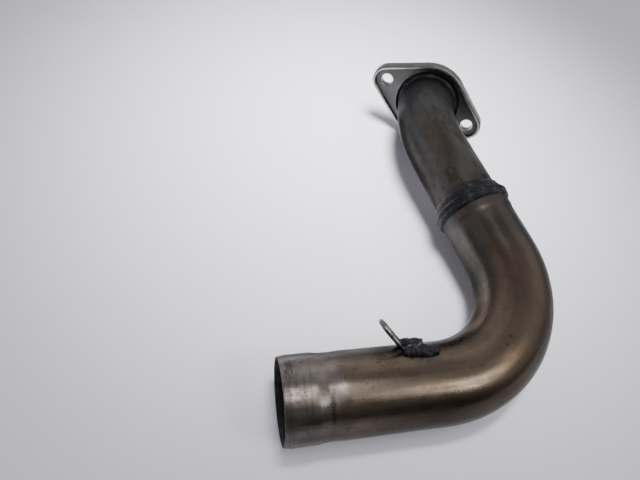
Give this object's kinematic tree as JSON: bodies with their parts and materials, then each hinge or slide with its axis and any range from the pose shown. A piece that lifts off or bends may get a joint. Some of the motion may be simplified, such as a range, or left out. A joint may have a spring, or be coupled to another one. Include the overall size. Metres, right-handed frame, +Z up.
{
  "type": "motorcycle exhaust header",
  "caption": "Bent stainless exhaust header for a motorcycle: loose stud flange on a collared inlet tube, black step weld, wider main bend, spring hook and sized outlet end.",
  "frame": {"origin": "centre of the outlet mouth", "axes": "+X runs from the mouth into the outlet leg, +Y lies towards the flange end, +Z is up as the pipe lies on a bench"},
  "size_m": [0.1827, 0.2695, 0.0591],
  "materials": {
    "main_steel": "brushed stainless, heat-tinted bronze, with soot specks and scuffs",
    "inlet_steel": "brushed stainless, heat-tinted dark brown and blue-grey",
    "weld_scale": "black, lumpy weld with burnt scale",
    "collar_steel": "turned steel, burnt dark",
    "flange_steel": "satin grey steel with bright edges",
    "hook_wire": "drawn wire, lightly heat-tinted"
  },
  "bodies": {
    "pipe": {"main_tube": "main_steel", "inlet_tube": "inlet_steel", "step_weld": "weld_scale", "seal_collar": "collar_steel", "collar_weld": "weld_scale", "spring_hook": "hook_wire", "hook_weld_upper": "weld_scale", "hook_weld_lower": "weld_scale"},
    "flange": {"stud_flange": "flange_steel"}
  },
  "joints": [
    {"name": "flange_swivel", "type": "hinge", "parent": "pipe", "child": "flange", "pos_m": [0.14315, 0.22285, 0.00562], "axis": [0.4663, 0.8551, -0.2266], "continuous": true}
  ]
}
